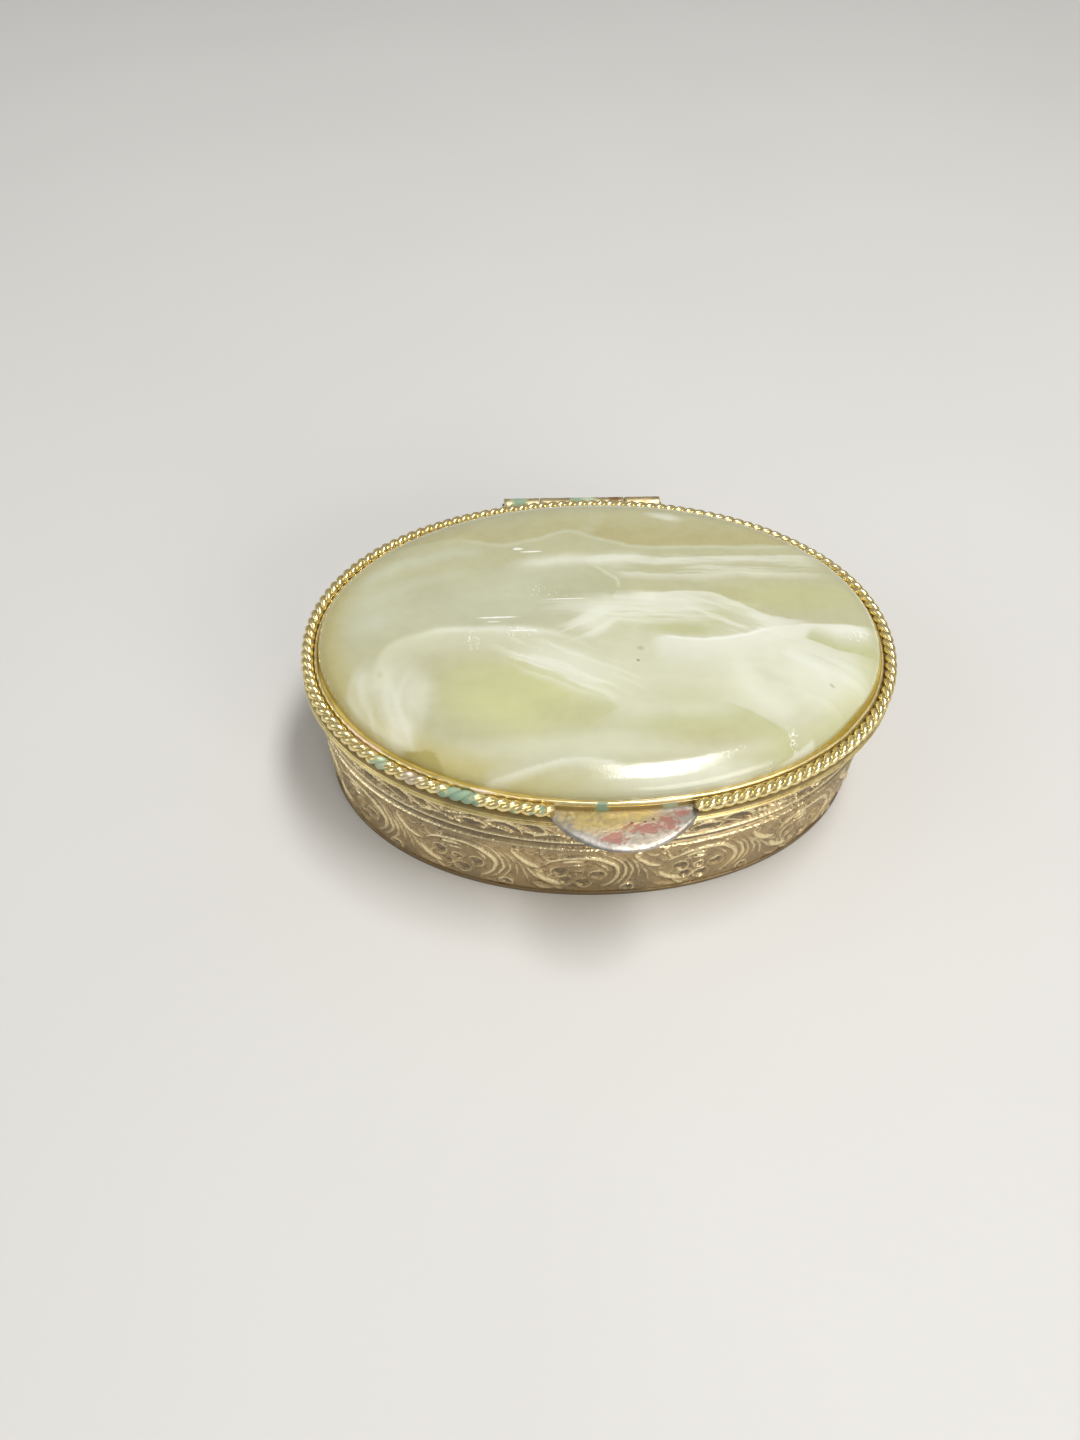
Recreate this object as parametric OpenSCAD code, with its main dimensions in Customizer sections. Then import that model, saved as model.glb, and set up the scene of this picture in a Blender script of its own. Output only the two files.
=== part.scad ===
// Oval vanity trinket box: a gilt box with an embossed side and a hinged lid that holds a domed stone.
// The origin is the centre of the base on the surface it stands on. +X runs along the oval's long
// axis, the thumb tab is at the front on -Y, the hinge is at the back on +Y and +Z is up.

/* [Oval] */
// Overall length of the lid over its rope
box_l = 70; // [60:0.5:90]
// Overall width of the lid over its rope, without tab and hinge
box_w = 50.8; // [46:0.2:64]
// Fullness of the oval: 2 is a true ellipse, more is squarer
oval_power = 2.08; // [2:0.01:2.4]

/* [Side] */
// Height of the seam between the box and the lid
seam_z = 16.8; // [14:0.1:24]
// How far the side stands in from the lid's outer edge
side_inset = 1.65; // [1.4:0.05:2.4]
// Thickness of the embossed side strip
side_t = 0.6; // [0.4:0.05:0.9]
// Thickness of the plain band inside the side
band_t = 0.4; // [0.3:0.05:0.8]
// Thickness of the base plate
base_t = 0.6; // [0.4:0.05:1.2]
// Thickness of the raised lines that divide the side's pattern
line_t = 0.5; // [0.3:0.05:0.8]
// Height of the upper raised line
upper_line_z = 11.3; // [10.8:0.1:12]
// Height of the lower raised line
lower_line_z = 9.8; // [8:0.1:10.2]
// Thickness of the bead round the rim
bead_t = 0.8; // [0.6:0.05:1]

/* [Lid] */
// Thickness of the lid plate
plate_t = 0.4; // [0.3:0.05:0.8]
// Thickness of the rope wire round the lid
rope_d = 1.5; // [1.2:0.1:1.5]
// Height of the bezel band above the lid plate
bezel_h = 1.2; // [1:0.1:2]
// Thickness of the bezel band
bezel_t = 0.4; // [0.3:0.05:0.6]
// Depth of the locating flange below the lid plate
flange_h = 1.6; // [1:0.1:2.4]
// Gap between the locating flange and the band inside the box
flange_gap = 0.3; // [0.2:0.05:0.6]

/* [Stone] */
// Height of the stone's shoulder above the bezel's edge
shoulder_h = 2.3; // [1:0.1:3]
// Width of the stone's rounded shoulder
shoulder_w = 4; // [2:0.1:5]
// Rise of the stone's crown above its shoulder
crown_h = 0.5; // [0.3:0.1:1.5]
// Fullness of the stone's outline, a little less than the bezel's
stone_power = 2.04; // [2:0.01:2.08]
// Gap between the stone and the bezel, filled with cement
cement_gap = 0.15; // [0.1:0.05:0.6]

/* [Thumb tab] */
// Radius of the tab's round edge
tab_r = 9.3; // [8:0.1:11]
// How far the tab stands out from the lid's outer edge
tab_out = 3.6; // [2.5:0.1:4.5]
// Thickness of the tab
tab_t = 0.45; // [0.35:0.05:0.45]

/* [Hinge] */
// Length of the middle tube, which is on the lid
mid_l = 11.2; // [10:0.1:16]
// Length of each outer tube, which are on the box
outer_l = 4.7; // [3:0.1:7]
// Outside diameter of the tubes
tube_d = 2.3; // [2.2:0.05:2.6]
// Diameter of the hinge pin
pin_d = 1; // [0.8:0.05:1.1]
// Clearance between tubes, end to end
tube_gap = 0.15; // [0.1:0.05:0.3]

/* [Lining] */
// Thickness of the card under the velvet
card_t = 0.8; // [0.5:0.1:1.5]
// Thickness of the velvet pad
pad_t = 2; // [1:0.1:4]

/* [Hidden] */

// Sides of an oval outline, and of round wire and tube
oval_n = 96;
round_n = 48;
half_l = box_l / 2;
half_w = box_w / 2;
// Slack between pieces that slide into one another by hand
slip = 0.05;

// Side: the embossed strip, the band behind it and the room inside
band_inset = side_inset + side_t;
room_inset = band_inset + band_t;
rim_t = bead_t / 2;
line_out = 0.25;
base_out = 0.1;

// Lid: everything stands on the plate, just above the seam
seam_gap = 0.1;
plate_z = seam_z + seam_gap;
lid_z = plate_z + plate_t;
plate_inset = 0.8;
bezel_inset = rope_d;
stone_inset = bezel_inset + bezel_t + cement_gap;
bed_t = 0.3;
cement_low = 0.25;
stone_z = lid_z + bed_t;
edge_z = lid_z + bezel_h + 0.1;
flange_inset = room_inset + flange_gap;
flange_t = 0.4;

// Thumb tab: a part of a disc that is cut off along the lid plate's edge
tab_mid_y = tab_r - half_w - tab_out;
rope_stop = 7.9;

// Hinge: the tubes clear the rope, and their axis is behind the lid and below its plate
hinge_y = half_w + 0.95;
hinge_z = seam_z - 0.2;
hinge_l = mid_l + 2 * (outer_l + tube_gap);
outer_x = mid_l / 2 + tube_gap + outer_l / 2;
pin_l = hinge_l + 0.6;
running = 0.05;
rim_gap = 0.3;
leaf_t = 0.35;
leaf_z = 12.2;
leaf_skin = 0.4;

// Turns a cosine or sine into the fuller curve of the oval
function full(v, power) = sign(v) * pow(abs(v), 2 / power);

// An oval outline, set in from the lid's outer edge
function oval_points(inset, power) = [
    for (i = [0 : oval_n - 1]) let (a = 360 * i / oval_n)
        [(half_l - inset) * full(cos(a), power), (half_w - inset) * full(sin(a), power)]
];

module oval(inset, power = oval_power) {
    polygon(oval_points(inset, power));
}

// A flat oval plate
module oval_plate(z, h, inset) {
    translate([0, 0, z])
        linear_extrude(h)
            oval(inset);
}

// An upright oval band from outer inset to inner inset
module oval_band(z, h, outer, inner) {
    translate([0, 0, z])
        linear_extrude(h)
            difference() {
                oval(outer);
                oval(inner);
            }
}

// A round oval wire, stepped from three bands that cross one another
module oval_wire(z, d, inset) {
    for (a = [30 : 30 : 90]) {
        half_high = d / 2 * sin(a);
        half_wide = d / 2 * cos(a - 30);
        oval_band(z - half_high, 2 * half_high, inset + d / 2 - half_wide, inset + d / 2 + half_wide);
    }
}

// A tube of the hinge with a true bore
module tube(x, l, bore_d) {
    translate([x, hinge_y, hinge_z])
        rotate([0, 90, 0])
            difference() {
                cylinder(h = l, d = tube_d, center = true, $fn = round_n);
                cylinder(h = l + 1, d = bore_d, center = true, $fn = round_n);
            }
}

// Room round the hinge axis that leaves and plates keep out of
module tube_room(l, gap = 0) {
    translate([0, hinge_y, hinge_z])
        rotate([0, 90, 0])
            cylinder(h = l, d = tube_d + 2 * gap, center = true, $fn = round_n);
}

// --- Box ---

// Side strip with its two raised lines; the finer pattern lies between them
module side_wall() {
    color([0.59, 0.49, 0.33]) {
        oval_band(base_t, seam_z - rim_t - base_t, side_inset, band_inset);
        oval_band(upper_line_z - line_t / 2, line_t, side_inset - line_out, side_inset + side_t / 2);
        oval_band(lower_line_z - line_t / 2, line_t, side_inset - line_out, side_inset + side_t / 2);
    }
}

// Flat ring turned out over the side, ending in a bead that is cut away round the hinge tubes
module rim_ring() {
    color([0.85, 0.68, 0.36])
        difference() {
            union() {
                oval_band(seam_z - rim_t, rim_t, bead_t / 2, room_inset);
                oval_band(seam_z - bead_t, bead_t, 0, bead_t);
            }
            tube_room(hinge_l + 2 * rim_gap, rim_gap);
        }
}

// Base plate that closes the box and shows as a thin edge at the foot
module base_plate() {
    color([0.66, 0.54, 0.34])
        oval_plate(0, base_t, side_inset - base_out);
}

// Plain band behind the embossed strip
module inner_band() {
    color([0.78, 0.62, 0.33])
        oval_band(base_t, seam_z - rim_t - base_t, band_inset, room_inset);
}

// Card that stiffens the pad
module pad_card() {
    color([0.55, 0.48, 0.38])
        oval_plate(base_t, card_t, room_inset + 2 * slip);
}

// Velvet floor pad
module velvet_pad() {
    color([0.42, 0.07, 0.12])
        oval_plate(base_t + card_t + slip, pad_t, room_inset + 4 * slip);
}

// Leaf on the box: a skin on the side below the bead and two arms out to the outer tubes
module base_hinge_leaf() {
    arm_z = hinge_z - tube_d / 2;
    color([0.72, 0.6, 0.38])
        difference() {
            union() {
                intersection() {
                    oval_band(leaf_z, arm_z + leaf_t - leaf_z, side_inset - leaf_skin, side_inset);
                    translate([-hinge_l / 2, 0, leaf_z])
                        cube([hinge_l, half_w, seam_z]);
                }
                for (s = [-1, 1]) {
                    difference() {
                        translate([s * outer_x - outer_l / 2, half_w - side_inset - 1, arm_z])
                            cube([outer_l, hinge_y - half_w + side_inset + 1, leaf_t]);
                        oval_plate(0, seam_z, side_inset);
                    }
                }
            }
            tube_room(hinge_l + 1);
        }
}

// Outer tubes, fixed to the box and tight on the pin
module left_knuckle() {
    color([0.8, 0.66, 0.42])
        tube(-outer_x, outer_l, pin_d);
}

module right_knuckle() {
    color([0.8, 0.66, 0.42])
        tube(outer_x, outer_l, pin_d);
}

// Pin through the three tubes
module hinge_pin() {
    color([0.62, 0.6, 0.55])
        translate([0, hinge_y, hinge_z])
            rotate([0, 90, 0])
                cylinder(h = pin_l, d = pin_d, center = true, $fn = round_n);
}

// --- Lid ---

// Plate that the lid is built on
module lid_plate() {
    color([0.8, 0.64, 0.34])
        oval_plate(plate_z, plate_t, plate_inset);
}

// Flange under the plate that keeps the closed lid centred
module lid_flange() {
    color([0.78, 0.62, 0.33])
        oval_band(plate_z - flange_h, flange_h, flange_inset, flange_inset + flange_t);
}

// Plain band round the stone
module bezel_band() {
    color([0.93, 0.76, 0.36])
        oval_band(lid_z, bezel_h, bezel_inset, bezel_inset + bezel_t);
}

// Rope round the lid, left open over the thumb tab
module rope_wire() {
    color([0.95, 0.78, 0.4])
        difference() {
            oval_wire(lid_z + rope_d / 2, rope_d, 0);
            translate([-rope_stop, -box_w, seam_z])
                cube([2 * rope_stop, box_w, rope_d * 2]);
        }
}

// Cement: a bed under the stone and a bead between the stone and the bezel
module stone_cement() {
    color([0.75, 0.56, 0.18]) {
        oval_plate(lid_z, bed_t, bezel_inset + bezel_t);
        translate([0, 0, stone_z])
            linear_extrude(edge_z - stone_z - cement_low)
                difference() {
                    oval(bezel_inset + bezel_t);
                    oval(stone_inset, stone_power);
                }
    }
}

// Stone: upright edge, quarter-round shoulder and a low crown, as rings of points round the oval
module onyx_stone() {
    steps = 6;
    crown_w = half_w - stone_inset - shoulder_w - 1;
    profile = concat(
        [[0, stone_z]],
        [for (i = [0 : steps]) let (a = 90 * i / steps)
            [shoulder_w * (1 - cos(a)), edge_z + shoulder_h * sin(a)]],
        [for (i = [1 : steps]) let (a = 90 * i / steps)
            [shoulder_w + crown_w * (1 - cos(a)), edge_z + shoulder_h + crown_h * sin(a)]]
    );
    rings = len(profile);
    points = [for (p = profile) for (c = oval_points(stone_inset + p[0], stone_power)) [c[0], c[1], p[1]]];
    sides = [for (r = [0 : rings - 2]) for (i = [0 : oval_n - 1])
        let (low = r * oval_n, next = (i + 1) % oval_n)
        each [[low + i, low + oval_n + i, low + next],
              [low + next, low + oval_n + i, low + oval_n + next]]];
    base = [for (i = [0 : oval_n - 1]) i];
    top = [for (i = [0 : oval_n - 1]) rings * oval_n - 1 - i];
    color([0.79, 0.78, 0.63])
        polyhedron(points, concat([base], sides, [top]));
}

// Half-moon lip for the thumb, butted to the plate's edge and flush with its top
module thumb_tab() {
    color([0.75, 0.72, 0.68])
        difference() {
            translate([0, tab_mid_y, lid_z - tab_t])
                cylinder(h = tab_t, r = tab_r, $fn = round_n * 2);
            oval_plate(lid_z - 2 * tab_t, 3 * tab_t, plate_inset);
        }
}

// Leaf on the lid: a strip from the plate back to the middle tube
module lid_hinge_leaf() {
    color([0.8, 0.66, 0.42])
        difference() {
            translate([-mid_l / 2, half_w - plate_inset - 2, plate_z])
                cube([mid_l, hinge_y - half_w + plate_inset + 2, leaf_t]);
            oval_plate(plate_z - 1, plate_t + 2, plate_inset);
            tube_room(mid_l + 1);
        }
}

// Middle tube, which turns on the pin
module lid_knuckle() {
    color([0.8, 0.66, 0.42])
        tube(0, mid_l, pin_d + 2 * running);
}

side_wall();
rim_ring();
base_plate();
inner_band();
pad_card();
velvet_pad();
base_hinge_leaf();
left_knuckle();
right_knuckle();
hinge_pin();
lid_plate();
lid_flange();
bezel_band();
rope_wire();
stone_cement();
onyx_stone();
thumb_tab();
lid_hinge_leaf();
lid_knuckle();
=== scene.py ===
"""Vanity trinket box: an oval gilt box with an embossed side and a hinged lid set with green onyx.

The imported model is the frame. Pieces are built here in millimetres and scaled to metres. +X runs
along the oval, the thumb tab is at the front on -Y, the hinge is at the back on +Y and +Z is up.
"""

import math

import bpy
import numpy as np
from mathutils import Matrix, Vector


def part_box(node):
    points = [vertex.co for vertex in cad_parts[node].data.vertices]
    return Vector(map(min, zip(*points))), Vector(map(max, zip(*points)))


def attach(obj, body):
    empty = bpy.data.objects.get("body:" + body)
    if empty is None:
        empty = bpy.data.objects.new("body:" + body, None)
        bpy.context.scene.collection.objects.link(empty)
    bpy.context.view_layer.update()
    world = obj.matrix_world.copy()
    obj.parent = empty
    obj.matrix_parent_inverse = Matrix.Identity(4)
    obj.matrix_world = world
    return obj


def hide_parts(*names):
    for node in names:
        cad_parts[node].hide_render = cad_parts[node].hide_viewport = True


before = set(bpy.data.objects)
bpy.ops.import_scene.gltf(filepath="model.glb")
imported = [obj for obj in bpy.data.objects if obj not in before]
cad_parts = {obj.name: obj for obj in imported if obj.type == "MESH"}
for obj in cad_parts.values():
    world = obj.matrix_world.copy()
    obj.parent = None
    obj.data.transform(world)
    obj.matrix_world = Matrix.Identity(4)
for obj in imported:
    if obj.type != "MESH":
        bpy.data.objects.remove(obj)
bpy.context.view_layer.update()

MM = 0.001
scene = bpy.context.scene

# ---- camera

CAMERA_AT = (-14.37, -87.9, 110.43)
CAMERA_YAW = math.radians(-4.93)
CAMERA_PITCH = math.radians(50.46)
CAMERA_ROLL = math.radians(2.24)
CAMERA_LENS = 27.03
SENSOR = 36
NEAR_CLIP = 0.005


def make_camera():
    """A camera at the hand-held height and tilt the box is seen from."""
    data = bpy.data.cameras.new("camera")
    data.lens = CAMERA_LENS
    data.sensor_width = SENSOR
    data.clip_start = NEAR_CLIP
    camera = bpy.data.objects.new("camera", data)
    scene.collection.objects.link(camera)
    flat = math.cos(CAMERA_PITCH)
    s, c = math.sin(CAMERA_YAW), math.cos(CAMERA_YAW)
    back = Vector((s * flat, -c * flat, math.sin(CAMERA_PITCH)))
    level = Vector((c, s, 0))
    rise = back.cross(level)
    right = math.cos(CAMERA_ROLL) * level + math.sin(CAMERA_ROLL) * rise
    up = back.cross(right)
    turn = Matrix((right, up, back)).transposed().to_4x4()
    camera.matrix_world = Matrix.Translation(Vector(CAMERA_AT) * MM) @ turn
    scene.camera = camera


make_camera()

# ---- sizes from the frame


def span(node):
    """Lowest and highest corner of a CAD node, in millimetres."""
    low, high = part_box(node)
    return np.array(low) / MM, np.array(high) / MM


HALF_L = span("rope_wire")[1][0]
HALF_W = span("rope_wire")[1][1]
OVAL_POWER = 2.08
STONE_POWER = 2.04


def inset_of(node):
    """How far a CAD node's outline stands in from the lid's outer edge."""
    return HALF_L - span(node)[1][0]


def floor_of(node):
    return span(node)[0][2]


def top_of(node):
    return span(node)[1][2]


def place_of(node):
    """A CAD node's inset, floor and top."""
    return inset_of(node), floor_of(node), top_of(node)


LID_Z = top_of("lid_plate")
SEAM_Z = top_of("rim_ring")
HINGE_LOW, HINGE_HIGH = span("lid_knuckle")
HINGE_R = (HINGE_HIGH[1] - HINGE_LOW[1]) / 2
HINGE_Y = (HINGE_HIGH[1] + HINGE_LOW[1]) / 2
HINGE_Z = (HINGE_HIGH[2] + HINGE_LOW[2]) / 2

# ---- curves, noise and meshes

WALK_INSET = 1.65
WALK_STEPS = 7201
NOISE_CELLS = 64
NOISE_SHIFT = 1000
LAYER_SHARE = 0.55


def smooth(value, low, high):
    """0 at low and 1 at high, with a smooth run between; low may be the larger."""
    t = np.clip((value - low) / (high - low), 0, 1)
    return t * t * (3 - 2 * t)


def oval(angle, inset, power=OVAL_POWER):
    """Points of the oval outline at these angles, set in from the lid's outer edge."""
    c, s = np.cos(angle), np.sin(angle)
    x = (HALF_L - inset) * np.sign(c) * np.abs(c) ** (2 / power)
    y = (HALF_W - inset) * np.sign(s) * np.abs(s) ** (2 / power)
    return x, y


def ring(angles, inset, z, power=OVAL_POWER):
    """Points of the oval outline at one height, or at a height for each angle."""
    x, y = oval(angles, inset, power)
    return np.stack([x, y, np.zeros(len(angles)) + z], -1)


def stations(count, inset=WALK_INSET):
    """Angles of evenly spaced points from the front centre round to the right, and their lengths."""
    dense = np.linspace(-0.5 * math.pi, 1.5 * math.pi, WALK_STEPS)
    x, y = oval(dense, inset)
    run = np.concatenate([[0], np.cumsum(np.hypot(np.diff(x), np.diff(y)))])
    at = run[-1] * np.linspace(0, 1, count, endpoint=False)
    return np.interp(at, run, dense), at


def smooth_path(points, steps=6):
    """Points on a smooth curve through the given ones."""
    p = np.array(points, float)
    p = np.vstack([2 * p[0] - p[1], p, 2 * p[-1] - p[-2]])
    t = np.linspace(0, 1, steps, endpoint=False)[:, None]
    runs = []
    for a, b, c, d in zip(p, p[1:], p[2:], p[3:]):
        cubic = (3 * b - a - 3 * c + d) * t**3 + (2 * a - 5 * b + 4 * c - d) * t**2
        runs.append(0.5 * (2 * b + (c - a) * t + cubic))
    return np.vstack(runs + [p[-2:-1]])


def to_path(x, y, points):
    """Distance to a smooth path, positive on its left, and the share of the way along it."""
    path = smooth_path(points)
    best = np.full(x.shape, 1e9)
    share = np.zeros(x.shape)
    for i, (a, b) in enumerate(zip(path[:-1], path[1:])):
        d = b - a
        t = np.clip(((x - a[0]) * d[0] + (y - a[1]) * d[1]) / (d @ d), 0, 1)
        off_x, off_y = x - a[0] - t * d[0], y - a[1] - t * d[1]
        r = np.hypot(off_x, off_y)
        side = np.where(d[0] * off_y - d[1] * off_x >= 0, 1, -1)
        nearer = r < np.abs(best)
        best = np.where(nearer, r * side, best)
        share = np.where(nearer, (i + t) / (len(path) - 1), share)
    return best, share


def lattice_noise(x, y, size, seed):
    """Smooth noise from 0 to 1 with lumps of about this size."""
    table = np.random.default_rng(seed).random((NOISE_CELLS, NOISE_CELLS))
    u, v = x / size + NOISE_SHIFT, y / size + NOISE_SHIFT
    i, j = np.floor(u).astype(int), np.floor(v).astype(int)
    fu, fv = smooth(u - i, 0, 1), smooth(v - j, 0, 1)
    i2, j2 = (i + 1) % NOISE_CELLS, (j + 1) % NOISE_CELLS
    i, j = i % NOISE_CELLS, j % NOISE_CELLS
    near = table[i, j] * (1 - fu) + table[i2, j] * fu
    far = table[i, j2] * (1 - fu) + table[i2, j2] * fu
    return near * (1 - fv) + far * fv


def layered_noise(x, y, size, seed, layers=3):
    """Noise with finer layers on top, centred on 0."""
    total, weight = 0, 0
    for i in range(layers):
        share = LAYER_SHARE**i
        total = total + share * lattice_noise(x, y, size / 2**i, seed + i)
        weight += share
    return total / weight - 0.5


def grid_faces(rows, columns, around_rows=False, around_columns=True, start=0):
    """Quads over points kept row by row. They look outwards when rows go up and columns go round."""
    r = np.arange(rows if around_rows else rows - 1)[:, None]
    c = np.arange(columns if around_columns else columns - 1)[None, :]
    r2, c2 = (r + 1) % rows, (c + 1) % columns
    corners = [r * columns + c, r * columns + c2, r2 * columns + c2, r2 * columns + c]
    return (np.stack(np.broadcast_arrays(*corners), -1).reshape(-1, 4) + start).tolist()


def capped_faces(rows, columns, start=0):
    """Faces of a tube of points kept row by row, with a cap on its first and its last row."""
    last = start + rows * columns
    caps = [list(range(start, start + columns))[::-1], list(range(last - columns, last))]
    return grid_faces(rows, columns, start=start) + caps


def make_piece(name, points, faces, body, nodes, material, crease=40, values=None):
    """Links a mesh of millimetre points as a piece that stands for these CAD nodes."""
    mesh = bpy.data.meshes.new(name)
    mesh.from_pydata((np.asarray(points, float) * MM).tolist(), [], faces)
    mesh.polygons.foreach_set("use_smooth", [True] * len(mesh.polygons))
    mesh.set_sharp_from_angle(angle=math.radians(crease))
    for key, data in (values or {}).items():
        data = np.asarray(data, np.float32)
        if data.ndim == 2:
            layer = mesh.attributes.new(key, "FLOAT_COLOR", "POINT")
            layer.data.foreach_set("color", np.c_[data, np.ones(len(data))].ravel())
        else:
            layer = mesh.attributes.new(key, "FLOAT", "POINT")
            layer.data.foreach_set("value", data)
    piece = bpy.data.objects.new(name, mesh)
    scene.collection.objects.link(piece)
    mesh.materials.append(material)
    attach(piece, body)
    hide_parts(*nodes)
    return piece


def rounded(profile, radius, steps=3):
    """A closed profile with its corners rounded off."""
    p = np.array(profile, float)
    made = []
    for before, corner, after in zip(np.roll(p, 1, 0), p, np.roll(p, -1, 0)):
        a = before - corner
        b = after - corner
        a *= min(radius / np.linalg.norm(a), 0.48)
        b *= min(radius / np.linalg.norm(b), 0.48)
        for t in np.linspace(0, 1, steps + 1):
            made.append(corner + a * (1 - t) ** 2 + b * t**2)
    return np.array(made)


def upward(profile):
    """The closed (inset, z) profile, ordered so that its swept faces look outwards."""
    x, z = profile[:, 0], profile[:, 1]
    turning = np.sum(x * np.roll(z, -1) - np.roll(x, -1) * z)
    return profile[::-1] if turning > 0 else profile


def band_points(profile, angles, shift=None):
    """Rows of points of an (inset, z) profile swept round the oval, each moved by shift's answer."""
    rows = []
    for inset, z in profile:
        more_inset, more_z = shift(inset, z, angles) if shift else (0, 0)
        rows.append(ring(angles, inset + more_inset, z + more_z))
    return np.array(rows)


def make_band(name, profile, node, body, material, shift=None, count=480, round_off=0.08,
              foot=0.0):
    """A closed band round the oval. "foot" is 1 on its points up to this height, and 0 above."""
    angles = stations(count)[0]
    loop = upward(rounded(profile, round_off))
    points = band_points(loop, angles, shift=shift)
    faces = grid_faces(len(loop), count, around_rows=True)
    points = points.reshape(-1, 3)
    # foot marks the bottom of the band; the bezel's material darkens it as a painted shadow line at
    # the thumb tab's root.
    dark = smooth(points[:, 2], foot + 0.2, foot)
    make_piece(name, points, faces, body, [node], material, values={"foot": dark})


def make_plate(name, node, body, material, round_off=0.12, count=360):
    """A flat oval plate with softened edges and rings of points across both faces."""
    inset, low, high = place_of(node)
    arc = np.radians([0, 30, 60, 90])
    corner, rise = round_off * (1 - np.cos(arc)), round_off * np.sin(arc)
    edge = [(inset + c, low + round_off - r) for c, r in zip(corner, rise)][::-1]
    edge += [(inset + c, high - round_off + r) for c, r in zip(corner, rise)]
    angles = stations(count)[0]
    rim = band_points(edge, angles)
    shrink = np.array([0.97, 0.9, 0.75, 0.5, 0.25, 0.02])[:, None, None] * [[[1, 1, 0]]]
    below = (rim[0] * shrink + [0, 0, low])[::-1]
    above = rim[-1] * shrink + [0, 0, high]
    points = np.concatenate([below, rim, above])
    faces = capped_faces(len(points), count)
    make_piece(name, points.reshape(-1, 3), faces, body, [node], material)


# ---- materials


def srgb(red, green, blue):
    """A colour given as 0 to 255 display values, made linear."""
    return tuple(
        v / 12.92 if v <= 0.04045 else ((v + 0.055) / 1.055) ** 2.4
        for v in (red / 255, green / 255, blue / 255)
    )


PALE_GOLD = srgb(248, 234, 182)
BRONZE = srgb(192, 168, 126)
GRIME = srgb(128, 117, 100)
SHADOW_GOLD = srgb(150, 124, 62)
VERDIGRIS = srgb(150, 174, 146)
PALE_VERDIGRIS = srgb(186, 200, 168)


class Shade:
    """One material. Inputs are numbers, colours or sockets, and every call gives a socket back."""

    def __init__(self, name, **settings):
        self.material = bpy.data.materials.new(name)
        self.material.use_nodes = True
        self.tree = self.material.node_tree
        self.shader = self.tree.nodes["Principled BSDF"]
        for key, value in settings.items():
            self.feed(self.shader.inputs[key.replace("_", " ")], value)
        spot = self.add("ShaderNodeTexCoord").outputs["Object"]
        self.place = self.vector("MULTIPLY", spot, (1 / MM,) * 3)

    def feed(self, socket, value):
        if isinstance(value, bpy.types.NodeSocket):
            self.tree.links.new(value, socket)
        elif socket.type == "RGBA":
            socket.default_value = (*value, 1)
        else:
            socket.default_value = value

    def add(self, kind, inputs=None, **settings):
        node = self.tree.nodes.new(kind)
        for key, value in settings.items():
            setattr(node, key, value)
        for key, value in (inputs or {}).items():
            self.feed(node.inputs[key], value)
        return node

    def set(self, socket, value):
        self.feed(self.shader.inputs[socket], value)

    def lay(self, mask, colour, amount=1.0):
        """Lays a colour over the base colour by this share of the mask."""
        if amount < 1:
            mask = self.times(mask, amount)
        self.colour = self.mix(mask, self.colour, colour)
        self.set("Base Color", self.colour)

    def value(self, name):
        """A number kept on the mesh's points."""
        return self.add("ShaderNodeAttribute", attribute_name=name).outputs["Fac"]

    def tint(self, name):
        """A colour kept on the mesh's points."""
        return self.add("ShaderNodeAttribute", attribute_name=name).outputs["Color"]

    def math(self, kind, a, b=0.0, clamp=False):
        return self.add("ShaderNodeMath", {0: a, 1: b}, operation=kind, use_clamp=clamp).outputs[0]

    def times(self, a, b):
        return self.math("MULTIPLY", a, b)

    def plus(self, a, b, share):
        """a and this share of b together, kept between 0 and 1."""
        return self.math("ADD", a, self.times(b, share), clamp=True)

    def most(self, a, b):
        return self.math("MAXIMUM", a, b)

    def vector(self, kind, a, b=(0, 0, 0), out="Vector"):
        return self.add("ShaderNodeVectorMath", {0: a, 1: b}, operation=kind).outputs[out]

    def ramp(self, value, low, high, to_low=0.0, to_high=1.0):
        """A smooth run from to_low where value is low, to to_high where it is high."""
        inputs = {"Value": value, "From Min": low, "From Max": high}
        inputs.update({"To Min": to_low, "To Max": to_high})
        return self.add("ShaderNodeMapRange", inputs, interpolation_type="SMOOTHSTEP").outputs[0]

    def mix(self, share, a, b):
        return self.add("ShaderNodeMix", {0: share, 6: a, 7: b}, data_type="RGBA").outputs[2]

    def noise(self, size, detail=3.0, stretch=None):
        """Noise with lumps of this size in mm, drawn out by the stretch factors."""
        spot = self.vector("DIVIDE", self.place, stretch) if stretch else self.place
        inputs = {"Vector": spot, "Scale": 1 / size, "Detail": detail}
        return self.add("ShaderNodeTexNoise", inputs).outputs[0]

    def cracks(self, size, width):
        """Thin lines between cells of this size."""
        inputs = {"Vector": self.place, "Scale": 1 / size}
        made = self.add("ShaderNodeTexVoronoi", inputs, feature="DISTANCE_TO_EDGE")
        return self.ramp(made.outputs["Distance"], width, 0.0)

    def patch(self, middle, radii, ragged=0.7, size=0.9, soft=0.1):
        """1 inside a ragged ellipsoid and 0 outside it."""
        scaled = self.vector("DIVIDE", self.vector("SUBTRACT", self.place, middle), radii)
        away = self.vector("LENGTH", scaled, out="Value")
        wander = self.times(self.math("SUBTRACT", self.noise(size), 0.5), 2 * ragged)
        return self.ramp(self.math("ADD", away, wander), 1 + soft, 1 - soft)

    def bump(self, height, depth):
        """Bends the shader's normal by a relief of this depth in mm; height runs from 0 to 1."""
        inputs = {"Height": height, "Distance": depth * MM, "Strength": 1.0}
        normal = self.add("ShaderNodeBump", inputs).outputs[0]
        self.set("Normal", normal)
        return normal


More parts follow.
